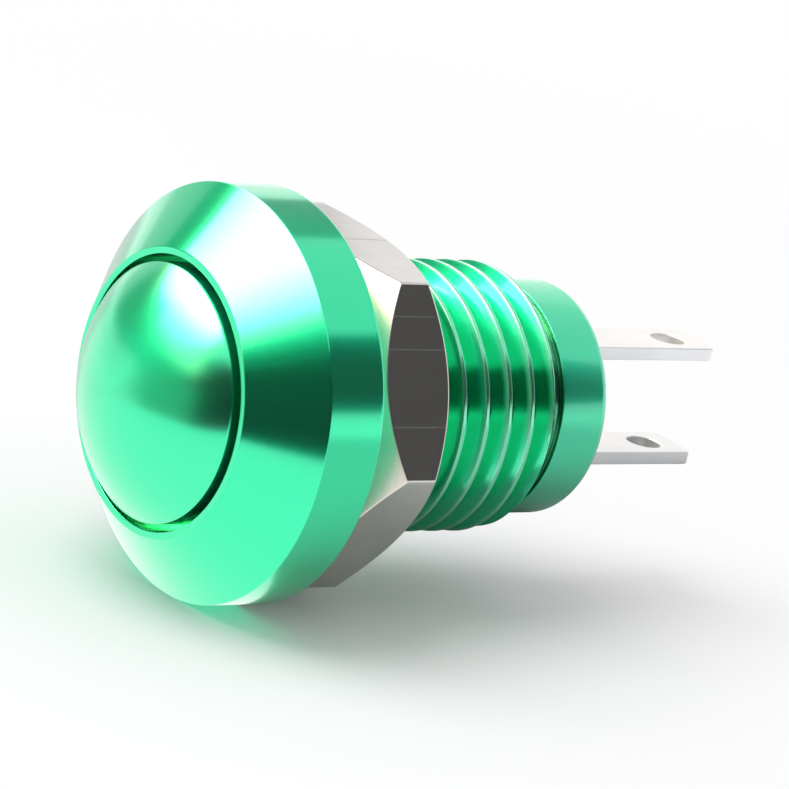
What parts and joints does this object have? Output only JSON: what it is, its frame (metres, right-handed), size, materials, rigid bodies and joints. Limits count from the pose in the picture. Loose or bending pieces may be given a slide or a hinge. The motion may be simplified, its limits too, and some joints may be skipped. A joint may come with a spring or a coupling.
{
  "type": "panel push button switch",
  "caption": "Momentary round push button with a domed cap, bevelled turned head, threaded barrel, panel nut and two solder blades.",
  "frame": {"origin": "centre of the ring on the back of the head that seats on the panel, on the axis of the barrel", "axes": "+Y runs along the barrel from the button to the terminals, +Z is square to the faces of the terminal blades"},
  "size_m": [0.018, 0.0321, 0.018],
  "materials": {
    "anodised_green": "satin anodised",
    "anodised_green_cap": "satin anodised",
    "nickel_nut": "nickel plated",
    "seal_rubber": "matte",
    "retainer_steel": "plain",
    "acetal_black": "moulded",
    "clip_steel": "spring steel",
    "return_spring_steel": "drawn wire",
    "contact_spring_steel": "drawn wire",
    "bridge_brass": "stamped",
    "bridge_tip_silver": "silver",
    "keeper_steel": "plain",
    "tinned_brass": "tin plated",
    "fixed_tip_silver": "silver",
    "liner_nylon": "moulded",
    "base_nylon": "moulded",
    "potting_epoxy": "cast"
  },
  "bodies": {
    "body": {"housing": "anodised_green", "stem_seal": "seal_rubber", "seal_retainer": "retainer_steel", "return_spring": "return_spring_steel", "liner": "liner_nylon", "terminal_base": "base_nylon", "terminal_upper": "tinned_brass", "terminal_lower": "tinned_brass", "fixed_tip_upper": "fixed_tip_silver", "fixed_tip_lower": "fixed_tip_silver", "epoxy_seal": "potting_epoxy"},
    "button": {"button_cap": "anodised_green_cap", "plunger": "acetal_black", "plunger_clip": "clip_steel", "contact_spring": "contact_spring_steel", "bridge_retainer": "keeper_steel"},
    "bridge": {"contact_bridge": "bridge_brass", "bridge_tip_upper": "bridge_tip_silver", "bridge_tip_lower": "bridge_tip_silver"},
    "nut": {"hex_nut": "nickel_nut"}
  },
  "joints": [
    {"name": "button_press", "type": "slide", "parent": "body", "child": "button", "axis": [0, 1, 0], "range_m": [0, 0.0018], "stiffness_N_per_m": 900, "springref_m": -0.002, "deforming": ["return_spring"]},
    {"name": "bridge_overtravel", "type": "slide", "parent": "button", "child": "bridge", "axis": [0, -1, 0], "range_m": [0, 0.0006], "deforming": ["contact_spring"]},
    {"name": "nut_travel", "type": "slide", "parent": "body", "child": "nut", "axis": [0, 1, 0], "range_m": [-0.0011, 0.0235]}
  ],
  "couplings": [
    {"joint": "bridge_overtravel", "follows": "button_press", "ratio": 0.33333}
  ]
}
